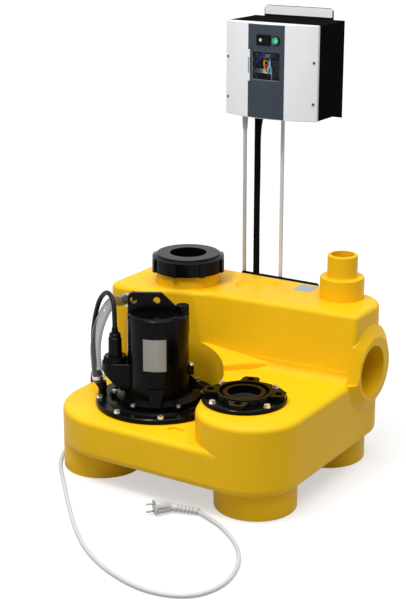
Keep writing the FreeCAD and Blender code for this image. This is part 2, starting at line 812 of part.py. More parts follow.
def pump_parts():
    bolts = pump_bolt_places()
    gasket = tube(flange_radius - 3, pump_opening - 6, flange_gasket, pump_x, pump_y, pump_deck)
    save("pump_gasket", drill(gasket, bolts, bolt_radius + bolt_play, pump_deck, base_top))
    hub = volute_radius + volute_wall
    low = pump_deck + flange_gasket
    base = turned([(seal_radius, volute_top), (hub, volute_top), (hub, low), (flange_radius - 1.5, low),
                   (flange_radius, low + 1.5), (flange_radius, base_top - 3), (flange_radius - 3, base_top),
                   (adapter_radius + 26, base_top), (adapter_radius + 23, base_top + 4),
                   (adapter_radius + 17, base_top + 4), (adapter_radius + 15, base_top),
                   (seal_radius, base_top)],
                  pump_x, pump_y)
    save("pump_base_flange", drill(base, bolts, bolt_radius + bolt_play, low, base_top))
    save("pump_flange_bolts", solids([bolt(p, base_top) for p in bolts]))

    lobes = [disc(adapter_lobe, adapter_low, p.x, p.y, base_top)
             for p in ring_places(adapter_lobes, adapter_radius, 0)]
    adapter = fuse([disc(adapter_radius, adapter_low, 0, 0, base_top),
                    Part.makeCone(adapter_radius - 2, motor_radius + 9, adapter_thickness - adapter_low,
                                  vec(0, 0, base_top + adapter_low))] + lobes)
    adapter = adapter.cut(disc(seal_radius, 60, 0, 0, base_top))
    adapter = adapter.cut(disc(bearing_radius, bearing_height, 0, 0, motor_bottom - bearing_height))
    save("motor_adapter", at_pump(adapter))
    screws = [hexagon(6.0, 5.0, p, base_top + adapter_low)
              for p in ring_places(adapter_lobes, adapter_radius + 5, 0)]
    save("adapter_screws", at_pump(solids(screws + [ear_screw()])))

    claw_top = motor_bottom + claw_rise
    claw_foot = adapter_radius + claw_reach
    claw_profile = [(motor_radius, claw_top), (motor_radius + 7, claw_top), (motor_radius + 12, claw_top - 5),
                    (claw_foot, base_top + adapter_low + 3), (claw_foot, base_top), (motor_radius, base_top)]
    claws = []
    window = claw_front(claw_top, claw_foot + 20)
    for turn in (-90, 30, 150):
        points = [vec(r, -claw_width / 2, z) for r, z in claw_profile]
        claw = Part.Face(Part.makePolygon(points + [points[0]])).extrude(vec(0, claw_width, 0)).common(window)
        claw = claw.cut(adapter).cut(disc(motor_radius, motor_top))
        claw.rotate(vec(0, 0), vec(0, 0, 1), turn)
        claw = claw.cut(terminal_box())
        claws.append(claw)
    save("motor_claws", at_pump(solids(claws)))


def claw_front(top, reach):
    """Front view of a claw, drawn in at the waist and wider at its head and foot."""
    head = claw_width / 2
    sides = [(head - 4, base_top), (head - 2, base_top + 6), (claw_waist / 2, motor_bottom),
             (head, top - 8), (head, top)]
    points = [vec(0, y, z) for y, z in sides] + [vec(0, -y, z) for y, z in sides[::-1]]
    return Part.Face(Part.makePolygon(points + [points[0]])).extrude(vec(reach, 0, 0))


def ear():
    """Small ear on the motor's side that carries a screw from above."""
    block = box(motor_radius - 6, -ear_width / 2, ear_top - ear_height, motor_radius + ear_reach,
                ear_width / 2, ear_top)
    upright = [e for e in block.Edges if e.BoundBox.XMin > motor_radius and e.BoundBox.ZLength > 5]
    return block.makeFillet(2.0, upright)


def ear_screw():
    place = vec(motor_radius + ear_reach / 2, 0)
    return fuse([hexagon(5.5, 5.0, place, ear_top + 1), disc(5.8, 1.0, place.x, place.y, ear_top)])


def terminal_box():
    """Cable entry on the side of the motor, its underside cut away at a slant."""
    low = terminal_top - terminal_drop
    block = fuse([disc(terminal_radius, terminal_drop, -terminal_reach, 0, low),
                  box(-terminal_reach, -terminal_radius, low, -motor_radius + 20, terminal_radius,
                      terminal_top)])
    block = rounded(block, 4.0, terminal_top)
    outer = -terminal_reach - terminal_radius - 1
    slant = [vec(outer, -50, low - 1), vec(-motor_radius - 12, -50, low - 1),
             vec(outer, -50, terminal_top - 20)]
    return block.cut(Part.Face(Part.makePolygon(slant + [slant[0]])).extrude(vec(0, 100, 0)))


def motor_parts():
    wall = motor_wall
    body = disc(motor_radius, motor_top - motor_bottom, 0, 0, motor_bottom)
    body = rounded(body, motor_shoulder, motor_top)
    side_boss = disc(side_boss_radius, side_boss_length, side_boss_offset, 0,
                     side_boss_top - side_boss_length)
    side_boss = rounded(side_boss, 2.0, side_boss_top)
    housing = fuse([body, terminal_box(), side_boss, ear()])
    housing = housing.cut(disc(motor_radius - wall, motor_cavity, 0, 0, motor_bottom + wall))
    housing = housing.cut(disc(shaft_radius + 4, 200, 0, 0, motor_bottom))
    bearing_z = motor_bottom + wall + motor_cavity
    housing = housing.cut(disc(bearing_radius, bearing_height + 4, 0, 0, bearing_z))
    save("motor_housing", at_pump(housing))

    top = motor_top
    outline = [(-lug_left, top), (lug_right, top), (lug_right, top + 6), (8, top + lug_rise),
               (-lug_left + 8, top + lug_rise), (-lug_left, top + lug_rise - 8)]
    points = [vec(x, -lug_thickness / 2, z) for x, z in outline]
    lug = Part.Face(Part.makePolygon(points + [points[0]])).extrude(vec(0, lug_thickness, 0))
    foot = box(-lug_left, -lug_thickness / 2, top - motor_shoulder - 2, lug_right, lug_thickness / 2, top)
    lug = fuse([lug, foot]).cut(body).cut(disc(side_boss_radius, lug_rise, side_boss_offset, 0, top))
    for x in lug_holes:
        lug = lug.cut(rod(lug_hole, 40, vec(x, -20, motor_top + lug_hole_height), vec(0, 1, 0)))
    lug = lug.makeFillet(3.0, [e for e in lug.Edges if e.BoundBox.YLength > lug_thickness - 0.1
                               and e.BoundBox.XLength < 0.01 and e.BoundBox.ZLength < 0.01
                               and e.BoundBox.ZMin > motor_top + 5])
    save("lifting_lug", at_pump(lug))

    seat = motor_radius + contact_gap
    plate = tube(seat + 1, seat, nameplate_height, 0, 0, nameplate_low)
    plate = plate.common(box(-nameplate_width / 2 - 3, -motor_radius - 5, nameplate_low,
                             nameplate_width / 2 - 3, 0, nameplate_low + nameplate_height))
    save("motor_plate", at_pump(plate))

    stator_low = motor_bottom + wall + 34
    stator = tube(motor_radius - wall, rotor_radius + air_gap, stator_height, 0, 0, stator_low)
    save("stator_core", at_pump(stator))
    windings = [tube(stator_radius, rotor_radius + 5, 18, 0, 0, stator_low - 18),
                tube(stator_radius, rotor_radius + 5, 18, 0, 0, stator_low + stator_height)]
    save("stator_windings", at_pump(solids(windings)))
    hole = shaft_radius + shaft_clearance
    bearings = [tube(bearing_radius, hole, bearing_height, 0, 0, z)
                for z in (motor_bottom - bearing_height, bearing_z)]
    save("motor_bearings", at_pump(solids(bearings)))
    save("shaft_seal", at_pump(tube(seal_radius, hole, 22, 0, 0, volute_top + 3)))

    core = tube(rotor_radius, shaft_radius, stator_height - 4, 0, 0, stator_low + 2)
    save("rotor_core", at_pump(core))
    shaft = disc(shaft_radius, bearing_z + bearing_height + 2 - impeller_low, 0, 0, impeller_low)
    save("rotor_shaft", at_pump(shaft.makeChamfer(1.0, edges_at(shaft, bearing_z + bearing_height + 2))))
    save("impeller", at_pump(impeller()))
    nut = hexagon(11.0, 8.0, vec(0, 0), impeller_low - 8)
    save("impeller_nut", at_pump(nut))


def impeller():
    plate = tube(impeller_radius, shaft_radius, 6, 0, 0, impeller_low + impeller_depth - 6)
    hub = tube(18, shaft_radius, impeller_depth, 0, 0, impeller_low)
    vanes = []
    for i in range(impeller_vanes):
        arc_outer = Part.Arc(vec(15, 0), vec(38, 9), vec(impeller_radius - 2, 0)).toShape()
        arc_inner = Part.Arc(vec(impeller_radius - 2, -4), vec(38, 4), vec(15, -4)).toShape()
        sides = [Part.LineSegment(vec(impeller_radius - 2, 0), vec(impeller_radius - 2, -4)).toShape(),
                 Part.LineSegment(vec(15, -4), vec(15, 0)).toShape()]
        vane_plan = Part.Face(Part.Wire([arc_outer, sides[0], arc_inner, sides[1]]))
        vane = vane_plan.extrude(vec(0, 0, impeller_depth - 5))
        vane.translate(vec(0, 0, impeller_low))
        vane.rotate(vec(0, 0), vec(0, 0, 1), 360.0 * i / impeller_vanes)
        vanes.append(vane)
    return fuse([plate, hub] + vanes)


def volute_parts():
    """Pump casing under the deck and the pipe from it up to the outlet flange."""
    reach = math.hypot(outlet_x - pump_x, outlet_y - pump_y)
    line = math.degrees(math.atan2(outlet_y - pump_y, outlet_x - pump_x))
    low = volute_top - volute_height
    axis_z = low + volute_height / 2
    outer = disc(volute_radius, volute_height, 0, 0, low)
    stub = rod(pipe_radius, stub_end, vec(0, 0, axis_z), vec(1, 0, 0))
    casing = fuse([outer, stub])
    casing = casing.cut(disc(volute_radius - volute_wall, volute_height, 0, 0, low + volute_wall))
    casing = casing.cut(rod(pipe_radius - riser_wall, stub_end + 5, vec(0, 0, axis_z), vec(1, 0, 0)))
    casing = casing.cut(disc(suction_radius, 20, 0, 0, low - 5))
    casing.rotate(vec(0, 0), vec(0, 0, 1), line)
    casing.translate(vec(pump_x, pump_y))
    save("pump_casing", casing)

    bend = reach - pipe_bend
    rise = axis_z + pipe_bend
    mid = pipe_bend * (1 - math.cos(math.radians(45)))
    path = Part.Wire([
        Part.LineSegment(vec(stub_end, 0, axis_z), vec(bend, 0, axis_z)).toShape(),
        Part.Arc(vec(bend, 0, axis_z), vec(reach - mid, 0, axis_z + mid), vec(reach, 0, rise)).toShape()])
    skins = []
    for radius, wide in ((pipe_radius, outlet_bore + riser_wall), (pipe_radius - riser_wall, outlet_bore)):
        ring = Part.Wire(Part.makeCircle(radius, vec(stub_end, 0, axis_z), vec(1, 0, 0)))
        bend_pipe = path.makePipeShell([ring], True, False)
        cone_top = outlet_seat - outlet_collar_depth
        cone = Part.makeCone(radius, wide, cone_top - rise, vec(reach, 0, rise))
        skins.append(fuse([bend_pipe, cone, disc(wide, outlet_collar_depth, reach, 0, cone_top)]))
    collar = disc(outlet_opening, outlet_collar_depth, reach, 0, outlet_seat - outlet_collar_depth)
    pipe = fuse([skins[0], collar]).cut(skins[1])
    pipe.rotate(vec(0, 0), vec(0, 0, 1), line)
    pipe.translate(vec(pump_x, pump_y))
    save("discharge_pipe", pipe)


def outlet_parts():
    bolts = outlet_bolt_places()
    gasket = tube(outlet_flange_radius - 3, outlet_opening, outlet_gasket, outlet_x, outlet_y, outlet_deck)
    save("outlet_gasket", drill(gasket, bolts, bolt_radius + bolt_play, outlet_deck, outlet_seat))
    top = outlet_seat + outlet_flange_thickness
    ring_in = outlet_ring_radius - 7
    collar = outlet_collar_radius
    body = turned([(outlet_bore, outlet_seat), (outlet_flange_radius, outlet_seat),
                   (outlet_flange_radius, top - 2),
                   (outlet_flange_radius - 2, top), (outlet_ring_radius + 2, top),
                   (outlet_ring_radius, top + outlet_ring_rise), (ring_in, top + outlet_ring_rise),
                   (ring_in - 1, top + 3), (collar + 1, top + 3), (collar, top + outlet_collar_rise),
                   (outlet_bore, top + outlet_collar_rise)], outlet_x, outlet_y)
    lugs = []
    for turn in range(4):
        near = outlet_ring_radius - 3
        far = outlet_flange_radius - 3
        points = [vec(near, -24, top), vec(far - 8, -20, top), vec(far, -14, top), vec(far, 14, top),
                  vec(far - 8, 20, top), vec(near, 24, top)]
        lug = Part.Face(Part.makePolygon(points + [points[0]])).extrude(vec(0, 0, outlet_lug_rise))
        lug.rotate(vec(0, 0), vec(0, 0, 1), outlet_lug_turn + 90 * turn)
        lug.translate(vec(outlet_x, outlet_y))
        lugs.append(lug)
    flange = fuse([body] + lugs)
    flange = drill(flange, ring_places(4, outlet_lug_circle / 2, outlet_lug_turn, outlet_x, outlet_y),
                   outlet_lug_hole, outlet_seat, top + 40)
    save("outlet_flange", drill(flange, bolts, bolt_radius + bolt_play, outlet_seat, top))
    save("outlet_flange_bolts", solids([bolt(p, top) for p in bolts]))


def ribbed_gland(x, y, z, radius, height, ribs):
    body = disc(radius - 2.5, height, x, y, z)
    teeth = [box(-3, -2.2, z, 2.5, 2.2, z + height - 4) for _ in range(ribs)]
    placed = []
    for i, tooth in enumerate(teeth):
        tooth.translate(vec(radius - 2.5, 0))
        tooth.rotate(vec(0, 0), vec(0, 0, 1), 360.0 * i / ribs)
        tooth.translate(vec(x, y))
        placed.append(tooth)
    return fuse([body] + placed)


def cable_parts():
    gland = ribbed_gland(-terminal_reach, 0, terminal_top, gland_flange_radius,
                         gland_flange_height, 16)
    save("cable_gland_flange", at_pump(gland))
    low = terminal_top + gland_flange_height
    body = turned([(0, low), (gland_radius, low), (gland_radius - 1, terminal_top + 58),
                   (gland_radius - 3, terminal_top + 60), (gland_radius - 3, terminal_top + 68),
                   (gland_radius - 5, terminal_top + 70), (0, terminal_top + 70)], -terminal_reach, 0)
    boot = turned([(0, terminal_top + 70), (9, terminal_top + 70), (pump_cable_radius + 1, cable_start),
                   (0, cable_start)], -terminal_reach, 0)
    save("cable_gland_body", at_pump(fuse([body, boot])))
    start = at_pump(Part.Vertex(-terminal_reach, 0, cable_start)).Point
    # from the boot over the vent hose, down the left side, along the floor and up behind the post
    points = [start] + [vec(*p) for p in pump_cable_route]
    save("pump_cable", cord("pump_cable", points, pump_cable_radius))


def hose_parts():
    base = polar(pump_x, pump_y, elbow_circle, elbow_turn)
    foot = fuse([hexagon(11, 9, base, base_top), disc(hose_bore, 32, base.x, base.y, base_top)])
    tail_start = vec(*hose_route[0])
    tail_next = vec(*hose_route[1])
    direction = tail_next.sub(tail_start).normalize()
    reach = base.sub(vec(tail_start.x, tail_start.y)).Length
    tail = rod(hose_bore, 26, tail_start, direction)
    knee = Part.makeSphere(hose_bore + 1.5, vec(base.x, base.y, base_top + 16))
    link = rod(hose_bore, tail_start.sub(vec(base.x, base.y, base_top + 16)).Length,
               vec(base.x, base.y, base_top + 16), tail_start.sub(vec(base.x, base.y, base_top + 16)))
    points = [vec(*p) for p in hose_route]
    hose = cord("vent_hose", points, hose_radius, hose_bore)
    save("vent_elbow", fuse([foot, knee, link, tail]).cut(hose))
    save("vent_hose", hose)
    end = points[-1]
    barb = fuse([rod(hose_bore, 24, vec(end.x, end.y - 18, end.z), vec(0, 1, 0)),
                 rod(hose_radius - 1, horn_front - end.y, end, vec(0, 1, 0)),
                 rod(barb_radius, 12, vec(end.x, horn_front, end.z), vec(0, 1, 0))])
    save("vent_barb", barb)
    clamps = [hose_clamp(tail_start.add(direction * 8), direction, 35),
              hose_clamp(vec(end.x, end.y - 14, end.z), vec(0, 1, 0), 60)]
    save("hose_clamps", solids(clamps))


def hose_clamp(place, direction, turn):
    band = Part.makeCylinder(hose_radius + clamp_thickness, clamp_width, vec(0, 0, 0), vec(0, 0, 1))
    band = band.cut(disc(hose_radius, clamp_width))
    ear = box(hose_radius - 0.3, -6, 0.5, hose_radius + 6, 6, clamp_width - 0.5)
    screw = rod(3, 22, vec(hose_radius + 3.5, -11, clamp_width / 2), vec(0, 1, 0))
    clamp = fuse([band, ear.cut(disc(hose_radius, clamp_width)), screw])
    clamp.rotate(vec(0, 0), vec(0, 0, 1), turn)
    rotation = FreeCAD.Rotation(vec(0, 0, 1), direction)
    clamp.Placement = FreeCAD.Placement(place, rotation).multiply(clamp.Placement)
    return clamp


def level_parts():
    bell = tube(level_bell_radius, level_bell_radius - 3, level_bell_top - level_bell_low,
                level_x, level_bell_y, level_bell_low)
    bell = fuse([bell, disc(level_bell_radius, 4, level_x, level_bell_y, level_bell_top)])
    bell = bell.cut(rod(level_stem_radius, 40, vec(level_x, level_bell_y, level_stem_z), vec(0, 1, 0)))
    save("level_bell", bell)
    stem = rod(level_stem_radius, level_hose_y - level_bell_y + level_hose_radius,
               vec(level_x, level_bell_y, level_stem_z), vec(0, 1, 0))
    nut = rod(level_stem_radius + 4, 4, vec(level_x, tank_rear, level_stem_z), vec(0, 1, 0))
    nipple = disc(level_hose_radius, level_hose_route[-1][2] - level_stem_z, level_x, level_hose_y,
                  level_stem_z)
    save("level_fitting", fuse([stem, nut, nipple]))
    points = [vec(*p) for p in level_hose_route]
    save("level_hose", cord("level_hose", points, level_hose_radius))


def saddle(z):
    strap = disc(post_radius + saddle_wall, saddle_height, post_x, post_y, z)
    ears = box(post_x - saddle_width / 2, bracket_back, z, post_x + saddle_width / 2,
               bracket_back + saddle_wall,
               z + saddle_height)
    blank = strap.common(box(post_x - 50, bracket_back, z, post_x + 50, post_y + 50, z + saddle_height))
    return fuse([blank, ears]).cut(disc(post_radius, saddle_height, post_x, post_y, z))


def post_parts():
    bracket = box(bracket_left, tank_rear, bracket_top - bracket_height, bracket_left + bracket_width,
                  bracket_back, bracket_top)
    bracket = bracket.makeFillet(8.0,
                                 [e for e in bracket.Edges if e.BoundBox.YLength > 1
                                  and e.BoundBox.XLength < 0.01
                                       and e.BoundBox.ZLength < 0.01])
    screws = []
    for x in (bracket_left + 9, bracket_left + bracket_width - 9):
        for z in (bracket_top - bracket_height + 14, bracket_top - 26):
            screws.append(rod(5, 3, vec(x, bracket_back, z), vec(0, 1, 0)))
    save("post_bracket", bracket)
    pole = tube(post_radius, post_bore, post_top - post_foot, post_x, post_y, post_foot)
    save("post", pole)
    caps = []
    for z, side in ((post_foot, -1), (post_top, 1)):
        caps.append(fuse([disc(post_bore, 10, post_x, post_y, z - (10 if side > 0 else 0)),
                          disc(post_radius, 3, post_x, post_y, z if side > 0 else z - 3)]))
    save("post_caps", solids(caps))
    save("post_saddles", solids([saddle(z) for z in saddle_places]))
    for z in saddle_places:
        for side in (-1, 1):
            x = post_x + side * (saddle_width / 2 - 4.2)
            screws.append(rod(2.6, 2.5, vec(x, bracket_back + 3, z + saddle_height / 2), vec(0, 1, 0)))
    save("post_screws", solids(screws))


def unit_arc(radius, half, y_centre):
    """End points and middle of the front arc of the control unit, half its chord wide."""
    rise = math.sqrt(radius ** 2 - half ** 2)
    return [vec(unit_x - half, y_centre - rise), vec(unit_x, y_centre - radius),
            vec(unit_x + half, y_centre - rise)]


def unit_slab(outer, inner, left, right, z0, z1):
    """Piece of the curved front between two radii and two distances from the middle."""
    def on(radius, x):
        return vec(unit_x + x, unit_centre_y - math.sqrt(radius ** 2 - x ** 2), z0)
    middle = (left + right) / 2
    edges = [Part.Arc(on(outer, left), on(outer, middle), on(outer, right)).toShape(),
             Part.LineSegment(on(outer, right), on(inner, right)).toShape(),
             Part.Arc(on(inner, right), on(inner, middle), on(inner, left)).toShape(),
             Part.LineSegment(on(inner, left), on(outer, left)).toShape()]
    return Part.Face(Part.Wire(edges)).extrude(vec(0, 0, z1 - z0))


def cover_block(inset, z0, z1, rear):
    half = unit_width / 2 - inset
    a, m, b = unit_arc(unit_radius - inset, half, unit_centre_y)
    edges = [Part.Arc(a, m, b).toShape(), Part.LineSegment(b, vec(b.x, rear)).toShape(),
             Part.LineSegment(vec(b.x, rear), vec(a.x, rear)).toShape(),
             Part.LineSegment(vec(a.x, rear), a).toShape()]
    face = Part.Face(Part.Wire(edges))
    face.translate(vec(0, 0, z0))
    return face.extrude(vec(0, 0, z1 - z0))


def unit_parts():
    rear = unit_front + cover_side
    cover = cover_block(0, unit_bottom, unit_top, rear)
    cover = cover.makeFillet(1.5, edges_at(cover, unit_top) + edges_at(cover, unit_bottom))
    cover = cover.cut(cover_block(cover_thickness, unit_bottom + cover_thickness,
                                  unit_top - cover_thickness, rear))
    window = (unit_x + window_left, unit_x + window_left + window_width,
              unit_top - window_top - window_height)
    front = unit_centre_y - unit_radius - 5
    hole = box(window[0], front, window[2], window[1], front + 20, window[2] + window_height)
    switch_hole = box(switch_x - bezel_width / 2, front, switch_z - bezel_height / 2,
                      switch_x + bezel_width / 2, front + 20, switch_z + bezel_height / 2)
    button_hole = rod(button_bezel_radius, 20, vec(button_x, front, switch_z), vec(0, 1, 0))
    for cutter in (hole, switch_hole, button_hole):
        cover = cover.cut(cutter)
    screw_places = []
    for side in (-1, 1):
        for z in (unit_bottom + 42, unit_top - 86):
            x = side * (unit_width / 2 - 8)
            y = unit_centre_y - math.sqrt(unit_radius ** 2 - x ** 2)
            screw_places.append(vec(unit_x + x, y, z))
    save("front_cover", cover)
    screws = []
    for p in screw_places:
        outward = vec(p.x - unit_x, p.y - unit_centre_y).normalize()
        screws.append(rod(cover_screw_radius, 2.0, p.sub(outward * 0.4), outward).cut(cover))
    save("cover_screws", solids(screws))

    strip = unit_slab(unit_radius + strip_proud, unit_radius, -strip_width / 2, strip_width / 2,
                      unit_bottom + 2, unit_top - 2)
    for cutter in (hole, switch_hole, button_hole):
        strip = strip.cut(cutter)
    save("control_panel", strip)

    housing = box(unit_left, rear, unit_bottom, unit_right, unit_rear, unit_top)
    housing = housing.makeFillet(4.0, [e for e in housing.Edges if e.BoundBox.YLength > 20])
    housing = housing.cut(box(unit_left + unit_wall, rear - 1, unit_bottom + unit_wall,
                              unit_right - unit_wall,
                              unit_rear - unit_wall, unit_top - unit_wall))
    save("unit_housing", housing)
    plate = box(unit_left, unit_rear, unit_bottom - 8, unit_right, bracket_back, unit_top)
    tab = box(unit_x - plate_top_width / 2, unit_rear, unit_top - 10, unit_x + plate_top_width / 2,
              bracket_back,
              unit_top + plate_rise)
    tab = tab.makeFillet(10.0,
                         [e for e in tab.Edges if e.BoundBox.XLength < 0.01 and e.BoundBox.ZLength < 0.01
                                and e.BoundBox.ZMin > unit_top])
    plate = fuse([plate, tab])
    for side in (-1, 1):
        keyhole = rod(plate_hole, 30, vec(unit_x + side * plate_hole_spacing / 2, unit_rear - 10,
                                          unit_top + plate_rise - plate_hole_drop), vec(0, 1, 0))
        plate = plate.cut(keyhole)
    save("unit_back_plate", plate)
    electrics(window)
    controls(window)


def electrics(window):
    board_rear = board_y + board_thickness
    board_low = unit_bottom + board_end_gap
    board_high = unit_top - board_end_gap
    board = box(unit_x - board_reach, board_y, board_low, unit_x + board_reach, board_rear, board_high)
    stands = []
    for side in (-1, 1):
        x = unit_x + side * (board_reach - stand_set_in)
        for z in (board_low + stand_set_in, board_high - stand_set_in):
            stands.append(rod(stand_radius, unit_rear - unit_wall - board_rear, vec(x, board_rear, z),
                              vec(0, 1, 0)))
    save("circuit_board", fuse([board] + stands))
    blocks = []
    for z in (window[2] + window_height - 21, window[2] + 8):
        for i in range(terminal_count):
            x = window[0] - terminal_lead + i * terminal_pitch
            block = box(x, board_y - 16, z, x + terminal_pitch - 0.4, board_y, z + 10)
            blocks.append(block.cut(rod(1.8, 6, vec(x + terminal_pitch / 2 - 0.2, board_y - 16, z + 5),
                                        vec(0, 1, 0))))
    save("terminal_blocks", solids(blocks))
    right = window[1] - 4
    low = window[2] + 4
    contactor = box(right - 30, board_y - 40, low, right, board_y, low + 40)
    contactor = contactor.cut(box(right - 26, board_y - 41, low + 14, right - 4, board_y - 36, low + 26))
    save("contactor", contactor)
    save("run_capacitor", rod(18, 40, vec(unit_x + 76, board_y, unit_bottom + 120), vec(0, -1, 0)))


def controls(window):
    depth = 14.0
    front = unit_centre_y - unit_radius - strip_proud - 1.5
    bezel = box(switch_x - bezel_width / 2, front, switch_z - bezel_height / 2,
                switch_x + bezel_width / 2, front + depth, switch_z + bezel_height / 2)
    bezel = bezel.cut(box(switch_x - rocker_width / 2 - 1.0, front, switch_z - rocker_height / 2 - 0.4,
                          switch_x + rocker_width / 2 + 1.0, front + depth - 2,
                          switch_z + rocker_height / 2 + 0.4))
    pivot_y = front + 4.0
    bezel = bezel.cut(rod(1.5 + shaft_clearance, bezel_height,
                          vec(switch_x, pivot_y, switch_z - bezel_height / 2),
                          vec(0, 0, 1)))
    save("switch_bezel", bezel)
    w = rocker_width / 2
    profile = [(-w, -4.5), (0, -2.0), (w, -4.5), (w, 0.0), (w - 8, 5.0), (-w + 8, 5.0), (-w, 0.0)]
    rocker = prism([vec(switch_x + x, pivot_y + y) for x, y in profile], switch_z - rocker_height / 2,
                   switch_z + rocker_height / 2)
    pin = rod(1.5, rocker_height + 3.6, vec(switch_x, pivot_y, switch_z - rocker_height / 2 - 1.8),
              vec(0, 0, 1))
    save("selector_rocker", fuse([rocker, pin]))
    ring = rod(button_bezel_radius, depth - 4, vec(button_x, front + 1, switch_z), vec(0, 1, 0))
    ring = ring.cut(rod(button_radius + contact_gap, depth - 6, vec(button_x, front + 1, switch_z),
                        vec(0, 1, 0)))
    ring = ring.cut(rod(2 + contact_gap, depth, vec(button_x, front, switch_z), vec(0, 1, 0)))
    save("button_bezel", ring)
    cap = rod(button_radius, 7, vec(button_x, front - 2.0, switch_z), vec(0, 1, 0))
    cap = cap.makeFillet(1.0, [e for e in cap.Edges if e.BoundBox.YLength < 0.01 and e.BoundBox.YMax < front])
    stem = rod(2, 10, vec(button_x, front + 4, switch_z), vec(0, 1, 0))
    save("reset_button", fuse([cap, stem]))

    left = window_left - flap_margin
    right = window_left + window_width + flap_margin - 2
    z0 = window[2] - flap_margin
    z1 = window[2] + window_height + flap_margin
    skin = unit_radius + strip_proud + contact_gap
    hinge_x = unit_x + left - hinge_radius + 1
    hinge_y = unit_centre_y - math.sqrt((skin + hinge_radius) ** 2 - (hinge_x - unit_x) ** 2)
    pane = unit_slab(skin + flap_thickness, skin, left, right, z0, z1)
    knuckle = rod(hinge_radius, (z1 - z0) * 0.5, vec(hinge_x, hinge_y, z0 + (z1 - z0) * 0.25), vec(0, 0, 1))
    bore = rod(pin_radius + shaft_clearance, z1 - z0, vec(hinge_x, hinge_y, z0), vec(0, 0, 1))
    quarter = (z1 - z0) * 0.25 - contact_gap
    for z in (z0, z1 - quarter - contact_gap):
        pane = pane.cut(rod(hinge_radius + contact_gap, quarter + contact_gap, vec(hinge_x, hinge_y, z),
                            vec(0, 0, 1)))
    save("window_flap", fuse([pane, knuckle]).cut(bore))
    ends = []
    for z in (z0, z1 - quarter):
        barrel = rod(hinge_radius, quarter, vec(hinge_x, hinge_y, z), vec(0, 0, 1))
        lift = box(hinge_x - 4, hinge_y, z, hinge_x + 0.5, hinge_y + hinge_radius + 1, z + quarter)
        ends.append(fuse([barrel, lift]).cut(rod(pin_radius, z1 - z0, vec(hinge_x, hinge_y, z0),
                                                 vec(0, 0, 1)))
                    .cut(unit_slab(unit_radius + strip_proud, unit_radius - 20, -strip_width / 2,
                                   strip_width / 2,
                                   unit_bottom, unit_top)))
    pin = rod(pin_radius, z1 - z0, vec(hinge_x, hinge_y, z0), vec(0, 0, 1))
    save("flap_hinge", fuse(ends + [pin]))
    print("flap hinge", hinge_x, hinge_y, "switch pivot", switch_x, pivot_y, switch_z)


def unit_gland(x, y, radius):
    nut = hexagon(radius + 5, 7, vec(x, y), unit_bottom - 7)
    return fuse([nut, turned([(0, gland_low), (radius + 1.5, gland_low), (radius + 3.5, unit_bottom - 7),
                              (0, unit_bottom - 7)], x, y)])


def rear_gland(x, z, radius):
    nut = hexagon(radius + 5, 7, vec(0, 0), 0)
    dome = turned([(0, 7), (radius + 3.5, 7), (radius + 1.5, rear_gland_end - bracket_back),
                   (0, rear_gland_end - bracket_back)])
    gland = fuse([nut, dome])
    gland.rotate(vec(0, 0), vec(1, 0, 0), -90)
    gland.translate(vec(x, bracket_back, z))
    return gland


def lead_parts():
    glands = [unit_gland(lead_route[0][0], lead_route[0][1], lead_radius),
              unit_gland(level_hose_route[0][0], level_hose_route[0][1], level_hose_radius),
              rear_gland(pump_cable_route[-1][0], pump_cable_route[-1][2], pump_cable_radius)]
    save("unit_glands", solids(glands))
    points = [vec(*p) for p in lead_route]
    save("mains_lead", cord("mains_lead", points, lead_radius))
    plug_parts(points[-1], points[-1].sub(points[-2]))


def plug_parts(sleeve_end, lead_end):
    """Mains plug lying on its rim. It tapers back to the sleeve round the lead."""
    face = vec(plug_x, plug_y, plug_radius + floor_gap)
    axis = polar(0, 0, 1, plug_turn)
    head = rod(plug_radius, plug_head, face.sub(axis * plug_head), axis)
    head = head.makeFillet(2.0,
                           [e for e in head.Edges if e.Length > 100 and e.CenterOfMass.sub(face).Length < 1])
    shoulder = face.sub(axis * (plug_head - 1))
    neck = face.sub(axis * 44).add(vec(0, 0, -7))
    rings = [Part.Wire(Part.makeCircle(plug_radius - 2, shoulder, axis)),
             Part.Wire(Part.makeCircle(plug_neck, neck, shoulder.sub(sleeve_end))),
             Part.Wire(Part.makeCircle(lead_radius + 1.5, sleeve_end, lead_end))]
    save("plug_body", fuse([head, Part.makeLoft(rings, True, False)]))
    pins = []
    for side in (-1, 1):
        pins.append(rod(pin_thickness / 2, pin_length, face.add(vec(0, 0, side * pin_spacing / 2)), axis))
    save("plug_pins", solids(pins))


def main():
    os.makedirs("parts", exist_ok=True)
    tank_parts()
    cap_parts()
    pump_parts()
    motor_parts()
    volute_parts()
    outlet_parts()
    cable_parts()
    hose_parts()
    level_parts()
    post_parts()
    unit_parts()
    lead_parts()
    check_parts()


def check_parts():
    facets = 0
    for name, shape in report.items():
        count = len(shape.tessellate(0.5)[1])
        facets += count
        volume = shape.Volume / 1000
        print("%-20s solids %2d  volume %9.1f cm3  facets %d" % (name, len(shape.Solids), volume, count))
    print("nodes", len(report), "facets", facets)


main()
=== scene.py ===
import math

